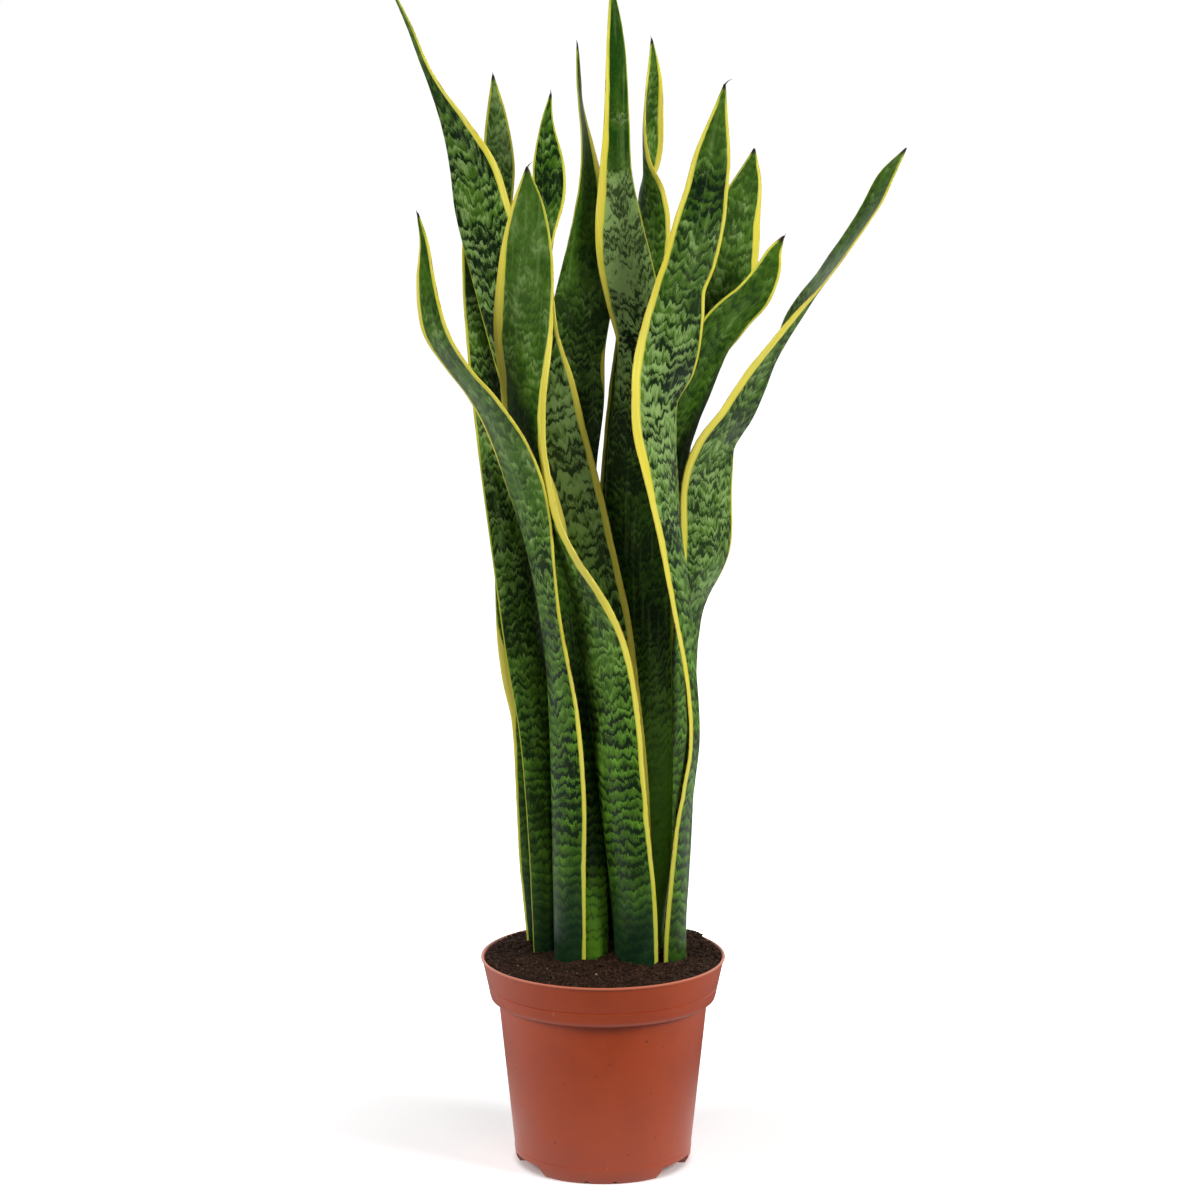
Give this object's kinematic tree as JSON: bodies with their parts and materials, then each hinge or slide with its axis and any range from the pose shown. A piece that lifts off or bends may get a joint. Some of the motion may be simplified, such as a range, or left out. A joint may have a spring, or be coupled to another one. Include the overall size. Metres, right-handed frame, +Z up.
{
  "type": "potted snake plant",
  "caption": "Tall upright house plant of stiff sword-shaped leaves with yellow margins and dark wavy cross-bands, rooted in peat in a round tapered plastic grower's pot.",
  "frame": {"origin": "middle of the whole plant's bounding box, on the surface that the pot stands on", "axes": "+Z up along the plant, front of the plant at -Y, +X to the right seen from the front"},
  "size_m": [0.4352, 0.21, 1.0034],
  "materials": {
    "terracotta_plastic": "moulded terracotta-coloured plastic, softly satin",
    "peat": "moist dark peat crumbs with pale flecks, matt",
    "root_stock": "fleshy ochre root stock, matt",
    "leaf": "waxy green leaf with darker cross-bands and yellow margins, satin"
  },
  "bodies": {
    "root": {"pot": "terracotta_plastic", "soil": "peat", "rhizome": "root_stock", "leaf_front_left": "leaf", "leaf_front_centre": "leaf", "leaf_front_right": "leaf", "leaf_left": "leaf", "leaf_centre_left": "leaf", "leaf_centre_tall": "leaf", "leaf_centre_back": "leaf", "leaf_back_left_tall": "leaf", "leaf_back_left_low": "leaf", "leaf_right_arching": "leaf", "leaf_back_twisted": "leaf", "leaf_back_right": "leaf", "leaf_back_right_low": "leaf"}
  },
  "joints": []
}
